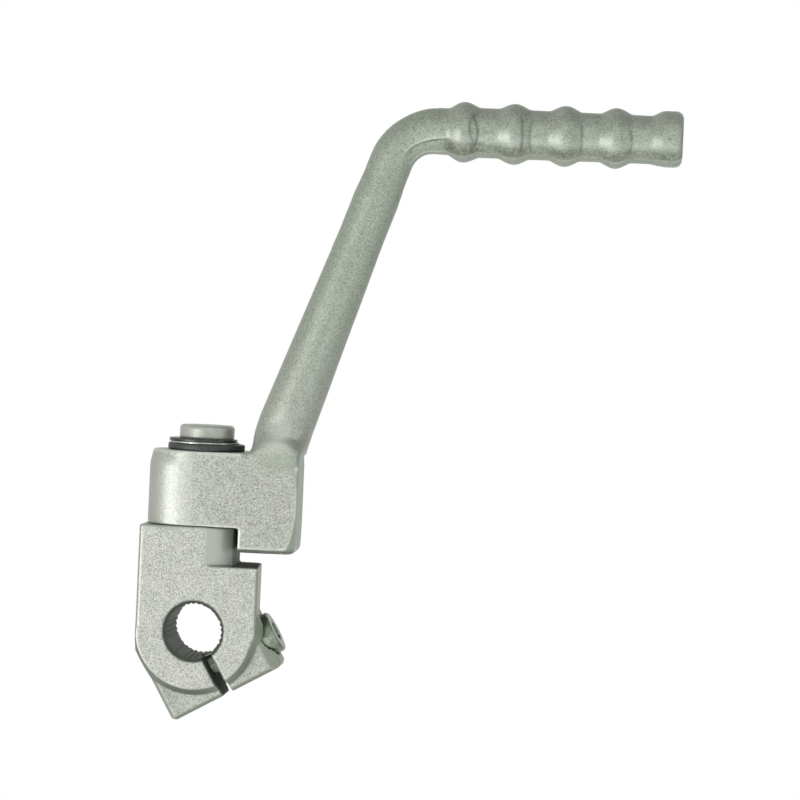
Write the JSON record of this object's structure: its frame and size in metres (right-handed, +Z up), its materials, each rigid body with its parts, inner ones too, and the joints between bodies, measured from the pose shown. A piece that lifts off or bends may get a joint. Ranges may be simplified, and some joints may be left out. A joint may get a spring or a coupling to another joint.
{
  "type": "kick start lever",
  "caption": "Folding kick start lever: a splined clamp knuckle with a pinch bolt and an upright pivot pin, and a forged arm with a ribbed pedal that swings out on it.",
  "frame": {"origin": "centre of the serrated bore, half way along it", "axes": "+Z up the pivot pin, +Y along the serrated bore towards the engine, +X the way the folded pedal points"},
  "size_m": [0.1662, 0.0256, 0.201],
  "materials": {
    "lever_steel": "satin forged and coated",
    "knuckle_steel": "blasted and coated",
    "zinc_bolt": "zinc plated",
    "black_spring_steel": "black phosphate",
    "washer_steel": "plain steel",
    "black_rubber": "black rubber",
    "ball_steel": "polished",
    "spring_steel": "drawn wire"
  },
  "bodies": {
    "knuckle": {"knuckle": "knuckle_steel", "clamp_bolt": "zinc_bolt", "circlip": "black_spring_steel", "thrust_washer": "washer_steel", "seal_ring": "black_rubber", "detent_spring": "spring_steel"},
    "lever": {"lever": "lever_steel"},
    "detent": {"detent_ball": "ball_steel"}
  },
  "joints": [
    {"name": "lever_fold", "type": "hinge", "parent": "knuckle", "child": "lever", "pos_m": [0, 0, 0.045], "axis": [0, 0, -1], "range_deg": [0, 60]},
    {"name": "ball_travel", "type": "slide", "parent": "knuckle", "child": "detent", "axis": [0, 0, 1], "range_m": [0, 0.0008], "stiffness_N_per_m": 50, "deforming": ["detent_spring"]}
  ]
}
